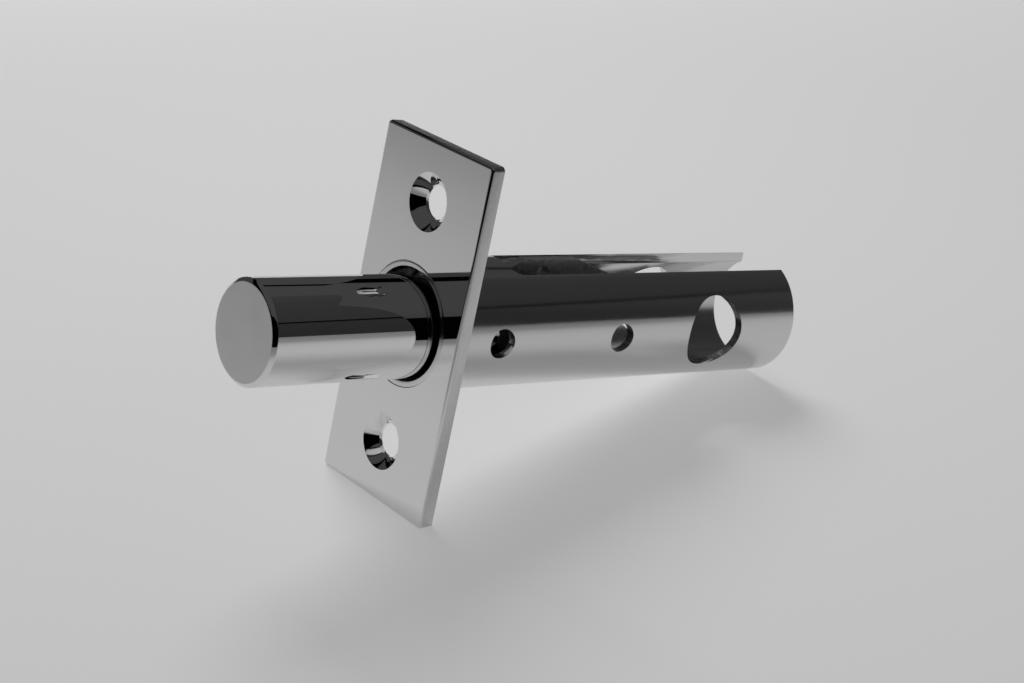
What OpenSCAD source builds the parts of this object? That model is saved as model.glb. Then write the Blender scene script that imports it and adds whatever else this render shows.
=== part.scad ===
// Door bolt: a tubular rack bolt for a drilled door edge.
// Origin: centre of the faceplate's front face, on the axis of the case.
// The bolt throws along -Y, the case runs back along +Y, +Z points along the faceplate
// towards the side with the open slot, and X crosses the case, along the key hole.

/* [Case] */
// Outer diameter of the case tube
case_od = 16; // [15:0.5:20]
// Wall thickness of the case tube
case_wall = 1.15; // [0.9:0.05:1.3]
// Length from the faceplate's front to the case's rear end
case_len = 60; // [58:1:70]
// Chamfer at the case's rear rim
rim_chamfer = 0.25; // [0.1:0.05:0.4]
// Width of the open slot along the top of the case
slot_w = 7.4; // [6:0.2:8]
// Distance from the faceplate's front to the slot's front end
slot_start = 12.5; // [11.5:0.1:12.7]
// Radius of the slot's front corners
slot_corner_r = 1.6; // [1:0.1:2]

/* [Holes in the case] */
// Diameter of the key hole through both walls
key_hole_d = 9.5; // [8:0.25:10.5]
// Distance from the faceplate's front to the key hole's axis
key_hole_y = 45.1; // [43:0.1:46]
// Diameter of the two small cross holes
cross_hole_d = 3.7; // [3:0.1:4.5]
// Distance from the faceplate's front to the front cross hole
cross_hole_front_y = 8.9; // [7.5:0.1:9.5]
// Distance between the two cross holes
cross_hole_pitch = 19.5; // [16:0.5:22]

/* [Faceplate] */
// Width of the faceplate, across the door's edge
plate_w = 20.4; // [19:0.2:26]
// Length of the faceplate, along the door's edge
plate_h = 44.4; // [43:0.2:56]
// Thickness of the faceplate
plate_t = 1.8; // [1.6:0.1:2.5]
// Radius of the faceplate's corners
plate_corner_r = 0.6; // [0.3:0.1:2]
// Distance between the two screw holes
screw_spacing = 30; // [28:0.5:34]
// Diameter of the screw holes
screw_hole_d = 4.1; // [3.6:0.1:4.5]
// Diameter of the countersinks at the front face
countersink_d = 7; // [6:0.1:8]
// Depth of the countersinks
countersink_depth = 1.35; // [1:0.05:1.5]

/* [Bolt] */
// Gap all round between the bolt and the case's bore
bolt_gap = 0.65; // [0.55:0.05:0.8]
// How far the bolt stands out of the faceplate as stored
bolt_out = 22.4; // [18:0.2:22.6]
// Chamfer round the bolt's nose
nose_chamfer = 0.45; // [0.2:0.05:1]
// How far the bolt hangs below the case's axis, in its clearance
bolt_sag = 0.3; // [0:0.05:0.3]

/* [Rack] */
// Thickness of the rack plate
rack_t = 1.2; // [1:0.1:2]
// Pitch of the rack's teeth
tooth_pitch = 3; // [2.5:0.1:3]
// Number of teeth
tooth_count = 9; // [9:1:10]
// Depth of the teeth
tooth_depth = 1.2; // [0.8:0.1:1.3]
// Diameter of the two cross pins that hold the rack plate in the bolt
pin_d = 2.5; // [2:0.1:3]

/* [Friction ring] */
// Wire diameter of the split ring that grips the case's bore
ring_wire_d = 1; // [0.8:0.05:1.1]
// Angle left open by the split
ring_split = 30; // [15:5:60]

/* [Hidden] */
$fn = 96;

cut = 1;                         // overrun of a cutting shape past a face
collar_gap = 0.03;               // between the collar and its hole in the faceplate
ring_gap = 0.1;                  // between the friction ring and the case's bore
rack_gap = 0.05;                 // between the rack plate and each wall of its slot
pin_gap = 0.02;                  // between a pin and its hole in the rack plate

bore_d = case_od - 2 * case_wall;
bolt_d = bore_d - 2 * bolt_gap;
collar_d = case_od - 0.9;        // the tube is turned down where it passes the faceplate
collar_hole_d = collar_d + 2 * collar_gap;
shoulder_y = plate_t / 2;        // the tube's shoulder sits in a counterbore in the faceplate's back
counterbore_d = case_od + 2 * collar_gap;

// Bolt, measured along Y from the faceplate's front
bolt_z = -bolt_sag;
tail_end = 17;                   // rear end of the round bolt
nose_end = -0.3;                 // the full diameter ends just before the faceplate
tail_d = bolt_d - 0.5;           // the rest, which stays inside, is a little thinner
rack_slot_start = 8.4;           // front end of the slot that takes the rack plate
rack_foot_z = -3.4;              // bottom edge of the rack plate inside the bolt
groove_y = 5;                    // middle of the friction ring's groove
groove_w = ring_wire_d + 0.4;

// Friction ring and the groove that lets it float about the case's axis
ring_r = bore_d / 2 - ring_gap - ring_wire_d / 2;
groove_r = ring_r - ring_wire_d / 2 - bolt_sag - 0.1;

// Rack plate, as points of its side view in Y and Z
rack_front = rack_slot_start + rack_gap;
rack_top = case_od / 2 - 0.05;   // just inside the hole drilled for the case
ramp_slope = 0.42;               // rise of the front ramp per mm
hump_front = 16.5;
hump_rear = 25;
rear_ramp_slope = 0.33;
spine_z = 5.5;                   // back of the toothed length
spine_front = hump_rear + (rack_top - spine_z) / rear_ramp_slope;
rack_end = key_hole_y + 3.2;
tooth_tip_z = spine_z - 1 - tooth_depth;
tooth_root_z = tooth_tip_z + tooth_depth;
tooth_tip_w = 0.25 * tooth_pitch;
tooth_root_w = 0.3 * tooth_pitch;
teeth_front = rack_end - tooth_count * tooth_pitch;
foot_rear = 16;
lift_hole_d = 1.9;               // small tooling hole in the hump
lift_hole_y = 19.6;
lift_hole_z = 6.15;

// Cross pins
pin_front_y = 11;
pin_rear_y = 14.9;
pin_len = 2 * sqrt(pow(tail_d / 2, 2) - pow(pin_d / 2, 2)) - 0.1;

// A cylinder along Y from y0 to y1
module rod_y(d, y0, y1, z = 0) {
    translate([0, y0, z]) rotate([-90, 0, 0]) cylinder(d = d, h = y1 - y0);
}

// A cylinder along X, centred on the case
module rod_x(d, len, y, z = 0) {
    translate([-len / 2, y, z]) rotate([0, 90, 0]) cylinder(d = d, h = len);
}

// A rectangle in XY from y0 to y1 with round corners at its front end
module slot_outline(w, y0, y1, r) {
    translate([-w / 2, y0 + r]) square([w, y1 - y0 - r]);
    translate([-w / 2 + r, y0]) square([w - 2 * r, r + cut]);
    for (side = [-1, 1]) translate([side * (w / 2 - r), y0 + r]) circle(r);
}

// A rectangle in XZ with four round corners
module plate_outline(w, h, r) {
    square([w - 2 * r, h], center = true);
    square([w, h - 2 * r], center = true);
    for (x = [-1, 1], z = [-1, 1])
        translate([x * (w / 2 - r), z * (h / 2 - r)]) circle(r);
}

// Tube with its turned collar, top slot, key hole and cross holes
module case_tube() {
    color("gainsboro") difference() {
        union() {
            rod_y(collar_d, 0, shoulder_y + cut);
            rod_y(case_od, shoulder_y, case_len - rim_chamfer);
            translate([0, case_len - rim_chamfer, 0]) rotate([-90, 0, 0])
                cylinder(d1 = case_od, d2 = case_od - 2 * rim_chamfer, h = rim_chamfer);
        }
        rod_y(bore_d, -cut, case_len + cut);
        linear_extrude(case_od)
            slot_outline(slot_w, slot_start, case_len + cut, slot_corner_r);
        rod_x(key_hole_d, case_od + 2 * cut, key_hole_y);
        for (n = [0, 1])
            rod_x(cross_hole_d, case_od + 2 * cut, cross_hole_front_y + n * cross_hole_pitch);
    }
}

// Plate with a stepped hole for the collar and two countersunk screw holes
module faceplate() {
    color("silver") difference() {
        translate([0, plate_t, 0]) rotate([90, 0, 0])
            linear_extrude(plate_t) plate_outline(plate_w, plate_h, plate_corner_r);
        rod_y(collar_hole_d, -cut, plate_t + cut);
        rod_y(counterbore_d, shoulder_y, plate_t + cut);
        for (side = [-1, 1]) translate([0, 0, side * screw_spacing / 2]) {
            rod_y(screw_hole_d, -cut, plate_t + cut);
            rotate([-90, 0, 0])
                cylinder(d1 = countersink_d, d2 = screw_hole_d, h = countersink_depth);
        }
    }
}

// Round bolt with a chamfered nose, a ring groove and a slotted tail
module bolt() {
    color("lightgray") difference() {
        union() {
            translate([0, -bolt_out, bolt_z]) rotate([-90, 0, 0])
                cylinder(d1 = bolt_d - 2 * nose_chamfer, d2 = bolt_d, h = nose_chamfer);
            rod_y(bolt_d, -bolt_out + nose_chamfer, nose_end, bolt_z);
            rod_y(tail_d, nose_end, tail_end, bolt_z);
        }
        translate([0, groove_y - groove_w / 2, bolt_z]) rotate([-90, 0, 0]) difference() {
            cylinder(d = bolt_d + 2 * cut, h = groove_w);
            translate([0, 0, -cut]) cylinder(r = groove_r, h = groove_w + 2 * cut);
        }
        translate([-rack_t / 2 - rack_gap, rack_slot_start, rack_foot_z])
            cube([rack_t + 2 * rack_gap, tail_end - rack_slot_start + cut, bolt_d]);
        for (y = [pin_front_y, pin_rear_y]) rod_x(pin_d, bolt_d, y, bolt_z);
    }
}

// Side view of the rack plate: foot, front ramp, hump, rear ramp, spine and teeth
module rack_outline() {
    tooth_rise = (tooth_pitch - tooth_tip_w - tooth_root_w) / 2;
    teeth = [for (n = [tooth_count - 1:-1:0]) let (y = teeth_front + n * tooth_pitch) each [
        [y + tooth_pitch - tooth_rise / 2, tooth_tip_z],
        [y + tooth_pitch - tooth_rise / 2 - tooth_tip_w, tooth_tip_z],
        [y + tooth_pitch - 1.5 * tooth_rise - tooth_tip_w, tooth_root_z],
        [y + tooth_rise / 2, tooth_root_z]
    ]];
    polygon(concat(
        [
            [rack_front, rack_foot_z],
            [rack_front, rack_top - (hump_front - rack_front) * ramp_slope],
            [hump_front, rack_top],
            [hump_rear, rack_top],
            [spine_front, spine_z],
            [rack_end, spine_z],
            [rack_end, tooth_tip_z]
        ],
        teeth,
        [
            [teeth_front, tooth_tip_z],
            [foot_rear, rack_foot_z]
        ]
    ));
}

// Stamped rack plate standing in the bolt's slot, teeth down towards the key hole
module rack_plate() {
    color("darkgray") difference() {
        translate([-rack_t / 2, 0, 0]) rotate([90, 0, 90])
            linear_extrude(rack_t) rack_outline();
        for (y = [pin_front_y, pin_rear_y])
            rod_x(pin_d + 2 * pin_gap, rack_t + 2 * cut, y, bolt_z);
        rod_x(lift_hole_d, rack_t + 2 * cut, lift_hole_y, lift_hole_z);
    }
}

// One cross pin, flush with the bolt
module rack_pin(y) {
    color("gray") rod_x(pin_d, pin_len, y, bolt_z);
}
module rack_pin_front() {
    rack_pin(pin_front_y);
}
module rack_pin_rear() {
    rack_pin(pin_rear_y);
}

// Split spring ring, open at the bottom
module friction_ring() {
    color("dimgray") translate([0, groove_y, 0]) rotate([-90, 0, 0])
        rotate([0, 0, 90 + ring_split / 2])
            rotate_extrude(angle = 360 - ring_split) translate([ring_r, 0])
                circle(d = ring_wire_d, $fn = 32);
}

case_tube();
faceplate();
bolt();
rack_plate();
rack_pin_front();
rack_pin_rear();
friction_ring();
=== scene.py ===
import math

import bmesh
import bpy
from mathutils import Matrix, Vector


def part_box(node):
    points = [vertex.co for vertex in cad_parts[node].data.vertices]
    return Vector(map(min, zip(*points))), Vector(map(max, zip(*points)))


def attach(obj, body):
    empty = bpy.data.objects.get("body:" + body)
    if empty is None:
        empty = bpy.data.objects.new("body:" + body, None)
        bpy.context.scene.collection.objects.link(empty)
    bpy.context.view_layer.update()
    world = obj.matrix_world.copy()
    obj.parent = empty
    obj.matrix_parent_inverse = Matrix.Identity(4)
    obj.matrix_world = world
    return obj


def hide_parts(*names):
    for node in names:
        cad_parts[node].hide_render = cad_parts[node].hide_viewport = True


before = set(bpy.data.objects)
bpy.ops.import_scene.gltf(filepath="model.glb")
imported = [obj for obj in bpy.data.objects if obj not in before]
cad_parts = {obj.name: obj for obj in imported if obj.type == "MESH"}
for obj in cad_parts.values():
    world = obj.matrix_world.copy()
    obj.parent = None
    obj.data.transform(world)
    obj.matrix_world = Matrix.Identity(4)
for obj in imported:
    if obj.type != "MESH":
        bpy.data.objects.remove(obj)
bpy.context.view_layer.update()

# Sizes in millimetres, from the frame where it holds them
MM = 0.001


def box_mm(node):
    """Lowest and highest corner of a CAD node, in millimetres."""
    low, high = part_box(node)
    return low / MM, high / MM


case_low, case_high = box_mm("case_tube")
plate_low, plate_high = box_mm("faceplate")
bolt_low, bolt_high = box_mm("bolt")
rack_low, rack_high = box_mm("rack_plate")
ring_low, ring_high = box_mm("friction_ring")

CASE_R = case_high.x
CASE_LEN = case_high.y
BORE_R = CASE_R - 1.15
COLLAR_R = CASE_R - 0.45
SHOULDER_Y = plate_high.y / 2
SLOT_HALF = 3.7
SLOT_START = 12.5
SLOT_CORNER_R = 1.6
KEY_HOLE_R = 4.75
KEY_HOLE_Y = 45.1
CROSS_HOLE_R = 1.85
CROSS_HOLES_Y = (8.9, 28.4)
PLATE_T = plate_high.y
SCREW_Z = 15.0
SCREW_HOLE_R = 2.05
SINK_R = 3.5
SINK_DEPTH = 1.35
BOLT_R = bolt_high.x
BOLT_Z = (bolt_low.z + bolt_high.z) / 2
NOSE_Y = bolt_low.y
NOSE_CHAMFER = 0.45
NOSE_END = -0.3
TAIL_R = BOLT_R - 0.25
TAIL_END = bolt_high.y
RACK_SLOT_Y = rack_low.y - 0.05
RACK_SLOT_HALF = rack_high.x + 0.05
GROOVE_Y = (ring_low.y + ring_high.y) / 2
GROOVE_HALF = 0.7
GROOVE_R = 5.35
PINS_Y = (11.0, 14.9)
PIN_R = 1.25

TURNS = 192          # facets round a turned piece
EDGE = 0.12          # rounding of a cut edge
DIE_ROLL = 0.38      # rounding of the faceplate's front edges
BACK_EDGE = 0.06     # rounding of its back edges
CORNER_R = 0.6       # its corners
LEAST_CORNER_R = 0.15
COLLAR_GAP = 0.03    # round the collar and the case in the faceplate
COLLAR_EDGE = 0.18   # rounding of the collar's front
BORE_EDGE = 0.12     # rounding of the bore's front
RIM_EDGE = 0.3       # rounding of the case's rear, outside
RIM_BORE_EDGE = 0.15
CORE_R = 0.01        # least radius of a turned cutter


# Mesh making, in millimetres

def new_object(name, mesh):
    obj = bpy.data.objects.new(name, mesh)
    bpy.context.scene.collection.objects.link(obj)
    return obj


def arc(cx, cy, r, start, end, steps=6):
    """Points of an arc, angles in degrees."""
    span = [start + (end - start) * n / steps for n in range(steps + 1)]
    return [(cx + r * math.cos(math.radians(a)), cy + r * math.sin(math.radians(a))) for a in span]


def lathe(name, outline, z=0.0, closed=True):
    """Turns points (radius, y) about the Y axis at height z."""
    bm = bmesh.new()
    rings = []
    for n in range(TURNS):
        a = 2 * math.pi * n / TURNS
        rings.append([bm.verts.new((r * math.cos(a), y, z + r * math.sin(a))) for r, y in outline])
    count = len(outline)
    for n in range(TURNS):
        here, there = rings[n], rings[(n + 1) % TURNS]
        for k in range(count if closed else count - 1):
            j = (k + 1) % count
            bm.faces.new((here[k], there[k], there[j], here[j]))
    if not closed:
        bm.faces.new([ring[0] for ring in rings])
        bm.faces.new([ring[-1] for ring in reversed(rings)])
    bmesh.ops.recalc_face_normals(bm, faces=bm.faces)
    mesh = bpy.data.meshes.new(name)
    bm.to_mesh(mesh)
    bm.free()
    return new_object(name, mesh)


def prism(name, points, axis, low, high):
    """Extrudes a closed outline along an axis; the points are in the other two axes, in order."""
    bm = bmesh.new()
    place = {
        "X": lambda p, t: (t, p[0], p[1]),
        "Y": lambda p, t: (p[0], t, p[1]),
        "Z": lambda p, t: (p[0], p[1], t),
    }[axis]
    ends = [[bm.verts.new(place(p, t)) for p in points] for t in (low, high)]
    bm.faces.new(ends[0])
    bm.faces.new(list(reversed(ends[1])))
    for n in range(len(points)):
        m = (n + 1) % len(points)
        bm.faces.new((ends[0][n], ends[1][n], ends[1][m], ends[0][m]))
    bmesh.ops.recalc_face_normals(bm, faces=bm.faces)
    mesh = bpy.data.meshes.new(name)
    bm.to_mesh(mesh)
    bm.free()
    return new_object(name, mesh)


def circle(cx, cy, r, steps=96):
    """Points of a full circle."""
    return arc(cx, cy, r, 0, 360 - 360 / steps, steps - 1)


def baked(obj):
    """Applies the modifiers of obj."""
    graph = bpy.context.evaluated_depsgraph_get()
    mesh = bpy.data.meshes.new_from_object(obj.evaluated_get(graph))
    obj.modifiers.clear()
    obj.data = mesh
    return obj


def cut(obj, *cutters):
    """Takes the cutters out of obj and deletes them."""
    for cutter in cutters:
        mod = obj.modifiers.new("cut", "BOOLEAN")
        mod.operation = "DIFFERENCE"
        mod.solver = "EXACT"
        mod.object = cutter
        bpy.context.view_layer.update()
        baked(obj)
        bpy.data.objects.remove(cutter)
    bm = bmesh.new()
    bm.from_mesh(obj.data)
    bmesh.ops.remove_doubles(bm, verts=bm.verts, dist=0.004)
    bmesh.ops.dissolve_degenerate(bm, edges=bm.edges, dist=0.002)
    bm.to_mesh(obj.data)
    bm.free()
    return obj


def round_edges(obj, width=EDGE, angle=34, segments=3):
    mod = obj.modifiers.new("round", "BEVEL")
    mod.width = width
    mod.segments = segments
    mod.limit_method = "ANGLE"
    mod.angle_limit = math.radians(angle)
    mod.use_clamp_overlap = True
    mod.miter_outer = "MITER_ARC"
    return baked(obj)


def true_normals(obj, rule):
    """Smooth shading, with the exact normal where rule(point) gives one."""
    mesh = obj.data
    for face in mesh.polygons:
        face.use_smooth = True
    exact = [rule(v.co) or Vector((0, 0, 0)) for v in mesh.vertices]
    limit = math.cos(math.radians(40))
    soft = [v.normal.copy() for v in mesh.vertices]
    normals = []
    for face in mesh.polygons:
        for v in face.vertices:
            if exact[v].length > 0.5:
                normals.append(exact[v] if exact[v].dot(face.normal) > 0.5 else face.normal)
            else:
                normals.append(soft[v] if soft[v].dot(face.normal) > limit else face.normal)
    mesh.normals_split_custom_set(normals)
    return obj


def paint(obj, material):
    """Makes material the only one on obj."""
    obj.data.materials.clear()
    obj.data.materials.append(material)
    return obj


def settle(obj, body, slot, material, *nodes):
    """Scales a finished piece to metres and puts it in the frame."""
    obj.data.transform(Matrix.Scale(MM, 4))
    paint(obj, material)
    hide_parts(*nodes)
    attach(obj, body)
    return obj


# Materials

class Nodes:
    """Short calls for building a node tree on one kind of texture coordinate."""

    def __init__(self, tree, coordinate):
        self.tree = tree
        self.place = self.add("ShaderNodeTexCoord").outputs[coordinate]

    def add(self, kind, links=None):
        """A new node, with its inputs linked to the sockets given."""
        node = self.tree.nodes.new(kind)
        for key, socket in (links or {}).items():
            self.tree.links.new(socket, node.inputs[key])
        return node

    def calc(self, operation, a, b=None):
        """One sum on numbers or sockets."""
        node = self.tree.nodes.new("ShaderNodeMath")
        node.operation = operation
        for n, value in enumerate((a, b)):
            if value is None:
                continue
            if isinstance(value, (int, float)):
                node.inputs[n].default_value = value
            else:
                self.tree.links.new(value, node.inputs[n])
        return node.outputs[0]

    def ramp(self, value, low, high, out_low=0.0, out_high=1.0):
        """Smooth step of value from low to high."""
        node = self.tree.nodes.new("ShaderNodeMapRange")
        node.interpolation_type = "SMOOTHSTEP"
        self.tree.links.new(value, node.inputs["Value"])
        keys = ("From Min", "From Max", "To Min", "To Max")
        for key, number in zip(keys, (low, high, out_low, out_high)):
            node.inputs[key].default_value = number
        return node.outputs["Result"]

    def noise(self, scale, stretch=(1, 1, 1), turn=(0, 0, 0), detail=3.0, rough=0.5):
        """Noise over the object in millimetres, stretched and turned."""
        mapping = self.add("ShaderNodeMapping", {"Vector": self.place})
        mapping.inputs["Rotation"].default_value = [math.radians(a) for a in turn]
        mapping.inputs["Scale"].default_value = [s / MM for s in stretch]
        spin = self.add("ShaderNodeTexNoise", {"Vector": mapping.outputs["Vector"]})
        spin.inputs["Scale"].default_value = scale
        spin.inputs["Detail"].default_value = detail
        spin.inputs["Roughness"].default_value = rough
        return spin.outputs["Fac"]

    def axis(self, n):
        """One coordinate of the point, in millimetres."""
        split = self.add("ShaderNodeSeparateXYZ", {"Vector": self.place})
        return self.calc("MULTIPLY", split.outputs[n], 1 / MM)

    def facing(self, n):
        """One part of the surface's own normal."""
        split = self.add("ShaderNodeSeparateXYZ", {"Vector": self.add("ShaderNodeNewGeometry").outputs["Normal"]})
        return split.outputs[n]

    def bump(self, height, strength, distance_mm, under=None):
        """Bumped normal, over an earlier one where under is given."""
        node = self.add("ShaderNodeBump", {"Height": height})
        node.inputs["Strength"].default_value = strength
        node.inputs["Distance"].default_value = distance_mm * MM
        if under is not None:
            self.tree.links.new(under, node.inputs["Normal"])
        return node.outputs["Normal"]

    def colour(self, value, low, high):
        """Mix of two colours: low at value 0, high at 1."""
        node = self.tree.nodes.new("ShaderNodeMix")
        node.data_type = "RGBA"
        self.tree.links.new(value, node.inputs["Factor"])
        node.inputs[6].default_value = (*low, 1)
        node.inputs[7].default_value = (*high, 1)
        return node.outputs[2]

    def into(self, **links):
        """Links sockets to the shader's inputs."""
        for key, socket in links.items():
            self.tree.links.new(socket, self.shader.inputs[key.replace("_", " ").title()])


def surface(name):
    """Node builder of a new material."""
    material = bpy.data.materials.new(name)
    material.use_nodes = True
    n = Nodes(material.node_tree, "Object")
    n.material = material
    n.shader = n.tree.nodes["Principled BSDF"]
    return n


def metal(name):
    n = surface(name)
    n.shader.inputs["Metallic"].default_value = 1.0
    return n


def grey(v):
    return (v, v * 1.002, v * 1.01)


def bolt_chrome():
    """Mirror chrome, with a brushed nose."""
    n = metal("bolt_chrome")
    nose = n.ramp(n.facing(1), -0.9, -0.97)
    scratches = n.noise(3.2, stretch=(1.0, 0.05, 0.07), turn=(0, 24, 0), detail=5, rough=0.7)
    fine = n.noise(9.0, stretch=(1.0, 0.05, 0.05), turn=(0, 31, 0), detail=3)
    brushed = n.calc("MULTIPLY", n.calc("ADD", scratches, fine), nose)
    waves = n.noise(0.16, stretch=(1, 0.4, 1), detail=1)
    specks = n.ramp(n.noise(2.4, detail=6, rough=0.8), 0.72, 0.8)
    smear = n.noise(0.35, stretch=(1, 0.35, 1), detail=4)
    rough = n.calc("ADD", n.calc("MULTIPLY", nose, 0.33), n.ramp(smear, 0.35, 0.75, 0.018, 0.05))
    rough = n.calc("ADD", rough, n.calc("MULTIPLY", specks, 0.05))
    soft = n.bump(waves, 0.3, 0.02)
    n.into(
        base_color=n.colour(nose, grey(0.93), grey(0.80)),
        roughness=rough,
        normal=n.bump(brushed, 0.55, 0.02, under=soft),
    )
    return n.material


def plate_chrome():
    """Polished front and sinks, coarse blanked sides."""
    n = metal("plate_chrome")
    across = n.calc("ABSOLUTE", n.facing(0))
    along = n.calc("ABSOLUTE", n.facing(2))
    inside = n.ramp(n.calc("ABSOLUTE", n.axis(0)), plate_high.x - 0.5, plate_high.x - 0.3)
    ends = n.ramp(n.calc("ABSOLUTE", n.axis(2)), plate_high.z - 0.5, plate_high.z - 0.3)
    side = n.calc("MULTIPLY", n.ramp(n.calc("MAXIMUM", across, along), 0.9, 0.98), n.calc("MAXIMUM", inside, ends))
    torn = n.noise(1.1, stretch=(0.6, 1.0, 0.25), detail=6, rough=0.75)
    waves = n.noise(0.1, detail=1)
    smear = n.noise(0.25, detail=4)
    rough = n.calc("ADD", n.ramp(smear, 0.35, 0.75, 0.02, 0.06), n.calc("MULTIPLY", side, 0.3))
    soft = n.bump(waves, 0.5, 0.05)
    n.into(
        base_color=n.colour(side, grey(0.92), grey(0.86)),
        roughness=rough,
        normal=n.bump(n.calc("MULTIPLY", torn, side), 0.7, 0.12, under=soft),
    )
    return n.material


def case_chrome():
    """Softer chrome over drawn tube; duller in the bore."""
    n = metal("case_chrome")
    radius = n.calc("SQRT", n.calc("ADD", n.calc("POWER", n.axis(0), 2), n.calc("POWER", n.axis(2), 2)))
    bore = n.ramp(radius, BORE_R + 0.25, BORE_R + 0.05)
    drawn = n.noise(1.4, stretch=(1, 0.02, 1), detail=4, rough=0.6)
    grain = n.noise(3.0, detail=5, rough=0.7)
    orange = n.noise(0.5, stretch=(1, 0.5, 1), detail=2)
    smear = n.noise(0.2, stretch=(1, 0.3, 1), detail=4)
    rough = n.calc("ADD", n.ramp(smear, 0.3, 0.75, 0.10, 0.16), n.calc("MULTIPLY", bore, 0.08))
    soft = n.bump(orange, 0.35, 0.02)
    n.into(
        base_color=n.colour(bore, grey(0.82), grey(0.74)),
        roughness=rough,
        normal=n.bump(n.calc("ADD", drawn, grain), 0.18, 0.015, under=soft),
    )
    return n.material


def rack_zinc():
    """Dull, mottled zinc on stamped steel with bright sheared edges."""
    n = metal("rack_zinc")
    mottle = n.noise(1.3, detail=6, rough=0.7)
    fine = n.noise(6.0, detail=4, rough=0.7)
    face = n.ramp(n.calc("ABSOLUTE", n.facing(0)), 0.8, 0.95)
    tone = n.calc("MULTIPLY", n.calc("ADD", n.calc("MULTIPLY", mottle, 0.7), n.calc("MULTIPLY", fine, 0.3)), face)
    n.into(
        base_color=n.colour(n.ramp(tone, 0.05, 0.7), grey(0.86), grey(0.36)),
        roughness=n.ramp(mottle, 0.3, 0.7, 0.42, 0.6),
        normal=n.bump(fine, 0.4, 0.02),
    )
    return n.material


def dark_steel(name, tone, roughness):
    """Oiled steel of the small hidden pieces."""
    n = metal(name)
    mottle = n.noise(2.0, detail=5, rough=0.65)
    n.into(
        base_color=n.colour(mottle, grey(tone * 0.8), grey(tone * 1.15)),
        roughness=n.ramp(mottle, 0.3, 0.7, roughness, roughness + 0.12),
        normal=n.bump(n.noise(5.0, detail=3), 0.3, 0.01),
    )
    return n.material


# Pieces

def make_case():
    """Tube with a turned collar, slot, key hole and cross holes."""
    outline = (
        arc(BORE_R + BORE_EDGE, BORE_EDGE, BORE_EDGE, 180, 270)
        + arc(COLLAR_R - COLLAR_EDGE, COLLAR_EDGE, COLLAR_EDGE, 270, 360)
        + [(COLLAR_R, SHOULDER_Y), (CASE_R, SHOULDER_Y)]
        + arc(CASE_R - RIM_EDGE, CASE_LEN - RIM_EDGE, RIM_EDGE, 0, 90)
        + arc(BORE_R + RIM_BORE_EDGE, CASE_LEN - RIM_BORE_EDGE, RIM_BORE_EDGE, 90, 180)
    )
    case = lathe("door_bolt_case", outline)
    slot = (
        arc(SLOT_HALF - SLOT_CORNER_R, SLOT_START + SLOT_CORNER_R, SLOT_CORNER_R, 360, 270, 10)
        + arc(SLOT_CORNER_R - SLOT_HALF, SLOT_START + SLOT_CORNER_R, SLOT_CORNER_R, 270, 180, 10)
        + [(-SLOT_HALF, CASE_LEN + 1), (SLOT_HALF, CASE_LEN + 1)]
    )
    reach = CASE_R + 2
    cut(
        case,
        prism("slot_cutter", slot, "Z", 0, reach),
        prism("key_cutter", circle(KEY_HOLE_Y, 0, KEY_HOLE_R), "X", -reach, reach),
        *[prism("cross_cutter", circle(y, 0, CROSS_HOLE_R, 48), "X", -reach, reach) for y in CROSS_HOLES_Y],
    )
    round_edges(case)

    def rule(p):
        r = math.hypot(p.x, p.z)
        if abs(r - CASE_R) < 0.006 and p.y < CASE_LEN - 0.2:
            return Vector((p.x, 0, p.z)) / r
        if abs(r - BORE_R) < 0.006:
            return Vector((-p.x, 0, -p.z)) / r
        return None

    true_normals(case, rule)
    return settle(case, "case_body", "case_chrome", case_chrome(), "case_tube")


def make_plate():
    """Plate with rounded front edges, a stepped hole and two sinks."""
    levels = [(DIE_ROLL - x, DIE_ROLL - y) for x, y in arc(0, 0, DIE_ROLL, 90, 0)]
    levels += [(0.0, PLATE_T - BACK_EDGE), (BACK_EDGE, PLATE_T)]
    bm = bmesh.new()
    rings = []
    for inset, y in levels:
        w, h, r = plate_high.x - inset, plate_high.z - inset, max(CORNER_R - inset, LEAST_CORNER_R)
        points = []
        for sx, sz, start in ((1, 1, 0), (-1, 1, 90), (-1, -1, 180), (1, -1, 270)):
            points += arc(sx * (w - r), sz * (h - r), r, start, start + 90)
        rings.append([bm.verts.new((x, y, z)) for x, z in points])
    for low, high in zip(rings, rings[1:]):
        for n in range(len(low)):
            m = (n + 1) % len(low)
            bm.faces.new((low[n], low[m], high[m], high[n]))
    bm.faces.new(rings[0])
    bm.faces.new(list(reversed(rings[-1])))
    bmesh.ops.recalc_face_normals(bm, faces=bm.faces)
    mesh = bpy.data.meshes.new("door_bolt_faceplate")
    bm.to_mesh(mesh)
    bm.free()
    plate = new_object("door_bolt_faceplate", mesh)
    before, behind = -1, PLATE_T + 1
    sink_flare = (SINK_R - SCREW_HOLE_R) / SINK_DEPTH
    hole = [
        (CORE_R, before),
        (COLLAR_R + COLLAR_GAP, before),
        (COLLAR_R + COLLAR_GAP, SHOULDER_Y),
        (CASE_R + COLLAR_GAP, SHOULDER_Y),
        (CASE_R + COLLAR_GAP, behind),
        (CORE_R, behind),
    ]
    sink = [
        (CORE_R, before),
        (SINK_R - sink_flare * before, before),
        (SCREW_HOLE_R, SINK_DEPTH),
        (SCREW_HOLE_R, behind),
        (CORE_R, behind),
    ]
    cut(plate, lathe("hole_cutter", hole, closed=False),
        *[lathe("sink_cutter", sink, z, closed=False) for z in (-SCREW_Z, SCREW_Z)])
    round_edges(plate, width=0.07, segments=2)

    def rule(p):
        inside = abs(p.x) < plate_high.x - DIE_ROLL + 0.01 and abs(p.z) < plate_high.z - DIE_ROLL + 0.01
        if p.y < 0.001 and inside:
            return Vector((0, -1, 0))
        if p.y > PLATE_T - 0.001:
            return Vector((0, 1, 0))
        return None

    true_normals(plate, rule)
    return settle(plate, "case_body", "plate_chrome", plate_chrome(), "faceplate")


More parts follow.
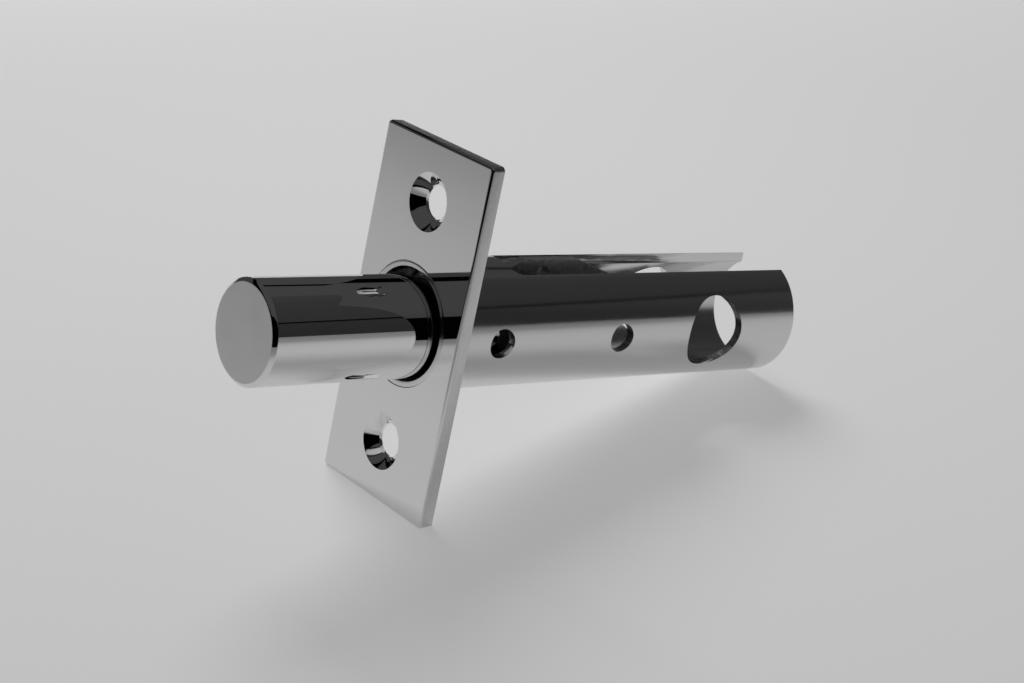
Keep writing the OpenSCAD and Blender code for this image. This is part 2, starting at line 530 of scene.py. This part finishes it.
def make_bolt():
    """Round bolt with a chamfered nose, ring groove and slotted tail."""
    low, high = GROOVE_Y - GROOVE_HALF, GROOVE_Y + GROOVE_HALF
    flat = BOLT_R - NOSE_CHAMFER
    outline = (
        [(0.0005, NOSE_Y), (flat - 0.06, NOSE_Y), (flat, NOSE_Y + 0.025)]
        + [(BOLT_R - 0.04, NOSE_Y + NOSE_CHAMFER - 0.04), (BOLT_R - 0.008, NOSE_Y + NOSE_CHAMFER)]
        + [(BOLT_R, NOSE_Y + NOSE_CHAMFER + 0.06), (BOLT_R, NOSE_END - 0.1), (TAIL_R, NOSE_END + 0.15)]
        + [(TAIL_R, low), (GROOVE_R, low), (GROOVE_R, high), (TAIL_R, high)]
        + [(TAIL_R, TAIL_END - 0.2), (TAIL_R - 0.2, TAIL_END), (0.0005, TAIL_END)]
    )
    bolt = lathe("door_bolt_bolt", outline, BOLT_Z, closed=False)
    slot = [(RACK_SLOT_Y, rack_low.z), (TAIL_END + 1, rack_low.z), (TAIL_END + 1, 9), (RACK_SLOT_Y, 9)]
    cut(
        bolt,
        prism("slot_cutter", slot, "X", -RACK_SLOT_HALF, RACK_SLOT_HALF),
        *[prism("pin_cutter", circle(y, BOLT_Z, PIN_R, 48), "X", -8, 8) for y in PINS_Y],
    )

    def rule(p):
        r = math.hypot(p.x, p.z - BOLT_Z)
        across = Vector((p.x, 0, p.z - BOLT_Z)) / max(r, 1e-6)
        if (abs(r - BOLT_R) < 0.002 or abs(r - TAIL_R) < 0.002) and p.y < TAIL_END - 0.1:
            return across
        if p.y < NOSE_Y + 0.001 and r < flat - 0.03:
            return Vector((0, -1, 0))
        return None

    true_normals(bolt, rule)
    return settle(bolt, "bolt_body", "bolt_chrome", bolt_chrome(), "bolt")


def dress(node, material):
    """Gives a CAD node that keeps its own mesh a material and fine edges."""
    obj = paint(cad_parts[node], material)
    mod = obj.modifiers.new("edges", "BEVEL")
    mod.width = 0.08 * MM
    mod.segments = 2
    mod.limit_method = "ANGLE"
    mod.angle_limit = math.radians(30)
    mod.harden_normals = True
    return obj


make_case()
make_plate()
make_bolt()
dress("rack_plate", rack_zinc())
for pin in ("rack_pin_front", "rack_pin_rear"):
    dress(pin, dark_steel("pin_steel", 0.6, 0.3))
paint(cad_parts["friction_ring"], dark_steel("spring_steel", 0.3, 0.35))

# Floor: the part leans back on its faceplate's lower edge and its rear rim
TILT = math.atan((plate_high.z - CASE_R) / CASE_LEN)
UP = Vector((0, -math.sin(TILT), math.cos(TILT)))
AHEAD = Vector((0, math.cos(TILT), math.sin(TILT)))
FLOOR_POINT = Vector((0, 0, plate_low.z)) * MM
FLOOR_SIZE = 3.0
FLOOR_SHARE = 0.72     # part of the floor's light that shadows take away
FLOOR_GLOW = 0.36      # light that the floor gives off towards the camera
FLOOR_PAINTED_LIGHT_Y = 20    # centre of the painted pool of light on the floor, in millimetres behind the faceplate
FLOOR_PAINTED_LIGHT_NEAR = 0.90      # painted light: the floor's tone at that centre
FLOOR_PAINTED_FALLOFF_FAR = 0.74       # painted falloff: the floor's tone far out on the left
# painted shade: how much darker the far floor is on the right
FLOOR_PAINTED_SHADE_RIGHT = 0.24


def make_floor():
    """Pale floor that shows white with the part's shadow, with painted light on it: darker far out and on the
    right.
    """
    bpy.ops.mesh.primitive_plane_add(size=FLOOR_SIZE)
    floor = bpy.context.object
    floor.name = "studio_floor"
    floor.matrix_world = Matrix((
        (1, AHEAD.x, UP.x, FLOOR_POINT.x),
        (0, AHEAD.y, UP.y, FLOOR_POINT.y),
        (0, AHEAD.z, UP.z, FLOOR_POINT.z),
        (0, 0, 0, 1),
    ))
    n = surface("studio_floor")
    tree = n.tree
    tree.nodes.remove(n.shader)
    # Painted light on the floor: its tone is a painted pool of light, brightest a little behind the faceplate,
    # with painted falloff far out and painted shade on the right. It sets the diffuse colour, and also the glow
    # that reflections see.
    x, y = n.axis(0), n.axis(1)
    distance = n.calc("SQRT", n.calc("ADD", n.calc("POWER", x, 2), n.calc("POWER", n.calc("SUBTRACT", y, FLOOR_PAINTED_LIGHT_Y), 2)))
    right = n.ramp(n.calc("SUBTRACT", x, n.calc("MULTIPLY", y, 0.35)), -40, 120)
    painted_falloff = n.calc("SUBTRACT", FLOOR_PAINTED_FALLOFF_FAR, n.calc("MULTIPLY", right, FLOOR_PAINTED_SHADE_RIGHT))
    tone = n.calc(
        "ADD",
        n.calc("MULTIPLY", n.ramp(distance, 55, 190, 1, 0), n.calc("SUBTRACT", FLOOR_PAINTED_LIGHT_NEAR, painted_falloff)),
        painted_falloff,
    )
    path = n.add("ShaderNodeLightPath")
    seen = n.calc("MAXIMUM", path.outputs["Is Camera Ray"], path.outputs["Is Transmission Ray"])
    diffuse = n.add("ShaderNodeBsdfDiffuse")
    tone_colour = n.add("ShaderNodeCombineColor")
    for key in ("Red", "Green", "Blue"):
        tree.links.new(n.calc("MULTIPLY", tone, FLOOR_SHARE), tone_colour.inputs[key])
    tree.links.new(tone_colour.outputs["Color"], diffuse.inputs["Color"])
    glow = n.add("ShaderNodeEmission")
    # Glossy rays see the floor glow by the painted tone: a painted reflection of the light's falloff.
    glow_level = n.calc(
        "ADD",
        n.calc("MULTIPLY", seen, FLOOR_GLOW),
        n.calc("MULTIPLY", path.outputs["Is Glossy Ray"], n.calc("MULTIPLY", tone, 1 - FLOOR_SHARE)),
    )
    tree.links.new(glow_level, glow.inputs["Strength"])
    lit = n.add("ShaderNodeAddShader")
    tree.links.new(diffuse.outputs[0], lit.inputs[0])
    tree.links.new(glow.outputs[0], lit.inputs[1])
    clear = n.add("ShaderNodeBsdfTransparent")
    mix = n.add("ShaderNodeMixShader")
    tree.links.new(n.add("ShaderNodeNewGeometry").outputs["Backfacing"], mix.inputs[0])
    tree.links.new(lit.outputs[0], mix.inputs[1])
    tree.links.new(clear.outputs[0], mix.inputs[2])
    tree.links.new(mix.outputs[0], tree.nodes["Material Output"].inputs["Surface"])
    floor.data.materials.append(n.material)
    return floor


# The tent, as (azimuth, value) stops: azimuth 0 is behind the part, 90 its right, in degrees
GAP_HEIGHT = (
    (-180, 25), (-139, 37), (-100, 37), (-37, 28.5), (0, 24),
    (45, 20.8), (75, 20.8), (112, 16), (145, 15), (170, 18),
)
GAP_HALF = (
    (-180, 14), (-139, 8), (-100, 4), (-37, 1.6), (0, 0.6),
    (45, 0.9), (75, 3), (112, 22), (160, 23), (172, 18),
)
WALLS = (
    (-180, 0.72), (-139, 0.74), (-100, 0.84), (-60, 1.0), (15, 1.0),
    (26, 0.86), (34, 0.66), (42, 0.48), (58, 0.40), (100, 0.38),
)
CEILING = ((-180, 1.0), (-12, 1.0), (-5, 0.72), (15, 0.64), (45, 0.56), (90, 0.75), (140, 1.0))
TOP = 1.06
TOP_FROM, TOP_TO = 40, 52      # elevations between which the ceiling turns to TOP
GAP_SOFT = 0.6                 # soft edge of the dark gap, in degrees
GAP_LIGHT = 0.01
ANGLE_SCALE = 60               # largest angle in the tables


def make_world():
    """A white tent: bright walls and ceiling, a grey right wall, dark gaps and a dark front."""
    world = bpy.data.worlds.new("studio")
    bpy.context.scene.world = world
    world.use_nodes = True
    tree = world.node_tree
    back = tree.nodes["Background"]
    n = Nodes(tree, "Generated")

    def along(direction):
        node = n.add("ShaderNodeVectorMath", {0: n.place})
        node.operation = "DOT_PRODUCT"
        node.inputs[1].default_value = direction
        return node.outputs["Value"]

    ahead, right, up = along(AHEAD), along((1, 0, 0)), along(UP)
    azimuth = n.calc("MULTIPLY", n.calc("ARCTAN2", right, ahead), 180 / math.pi)
    elevation = n.calc("MULTIPLY", n.calc("ARCSINE", up), 180 / math.pi)
    turn = n.calc("DIVIDE", n.calc("ADD", azimuth, 180), 360)

    def round_table(stops, scale):
        """Value at each azimuth, in degrees from straight behind the part, to the right."""
        node = tree.nodes.new("ShaderNodeValToRGB")
        node.color_ramp.interpolation = "EASE"
        points = node.color_ramp.elements
        while len(points) > 1:
            points.remove(points[-1])
        for k, (a, value) in enumerate(stops):
            point = points[0] if k == 0 else points.new((a + 180) / 360)
            point.position = (a + 180) / 360
            point.color = [value / scale] * 3 + [1]
        tree.links.new(turn, node.inputs["Fac"])
        return n.calc("MULTIPLY", node.outputs["Color"], scale)

    gap_height = round_table(GAP_HEIGHT, ANGLE_SCALE)
    gap_half = round_table(GAP_HALF, ANGLE_SCALE)
    below = round_table(WALLS, 1)
    above = round_table(CEILING, 1)
    offset = n.calc("SUBTRACT", elevation, gap_height)
    over = n.calc("GREATER_THAN", offset, 0)
    high = n.ramp(elevation, TOP_FROM, TOP_TO)
    above = n.calc("ADD", n.calc("MULTIPLY", above, n.calc("SUBTRACT", 1, high)), n.calc("MULTIPLY", high, TOP))
    light = n.calc(
        "ADD",
        n.calc("MULTIPLY", over, above),
        n.calc("MULTIPLY", n.calc("SUBTRACT", 1, over), below),
    )
    inside = n.calc("SUBTRACT", gap_half, n.calc("ABSOLUTE", offset))
    light = n.calc("MULTIPLY", light, n.ramp(inside, -GAP_SOFT, GAP_SOFT, 1, GAP_LIGHT))
    path = n.add("ShaderNodeLightPath")
    camera = n.calc("MAXIMUM", path.outputs["Is Camera Ray"], path.outputs["Is Transmission Ray"])
    level = n.calc(
        "ADD",
        n.calc("MULTIPLY", camera, 1.0),
        n.calc("MULTIPLY", n.calc("SUBTRACT", 1, camera), light),
    )
    tree.links.new(level, back.inputs["Strength"])


KEY_POWER = 1.6
KEY_SIZE = 0.34
KEY_AT = Vector((-0.42, 0.10, 0.42))
KEY_AIM = Vector((0, 0.03, 0))


def make_light():
    """A broad soft lamp from the upper left behind, for the shadow on the right."""
    data = bpy.data.lights.new("key", "AREA")
    data.shape = "DISK"
    data.size = KEY_SIZE
    data.energy = KEY_POWER
    lamp = bpy.data.objects.new("key", data)
    bpy.context.scene.collection.objects.link(lamp)
    lamp.location = KEY_AT
    lamp.rotation_mode = "QUATERNION"
    lamp.rotation_quaternion = (KEY_AIM - KEY_AT).to_track_quat("-Z", "Y")
    lamp.visible_glossy = False


# Camera, from the fit of the photograph's edges
CAMERA_AT = Vector((178.010, -147.145, 69.770)) * MM
CAMERA_RIGHT = Vector((0.62007, 0.75848, 0.20058))
CAMERA_UP = Vector((-0.34832, 0.03707, 0.93664))
LENS_MM = 71.74


def make_camera():
    data = bpy.data.cameras.new("camera")
    data.sensor_fit = "HORIZONTAL"
    data.sensor_width = 36
    data.lens = LENS_MM
    data.clip_start = 0.005
    data.clip_end = 10
    camera = bpy.data.objects.new("camera", data)
    bpy.context.scene.collection.objects.link(camera)
    right = CAMERA_RIGHT.normalized()
    back = right.cross(CAMERA_UP).normalized()
    up = back.cross(right)
    camera.matrix_world = Matrix((
        (right.x, up.x, back.x, CAMERA_AT.x),
        (right.y, up.y, back.y, CAMERA_AT.y),
        (right.z, up.z, back.z, CAMERA_AT.z),
        (0, 0, 0, 1),
    ))
    bpy.context.scene.camera = camera


make_floor()
make_world()
make_light()
make_camera()
bpy.context.scene.view_settings.view_transform = "Standard"
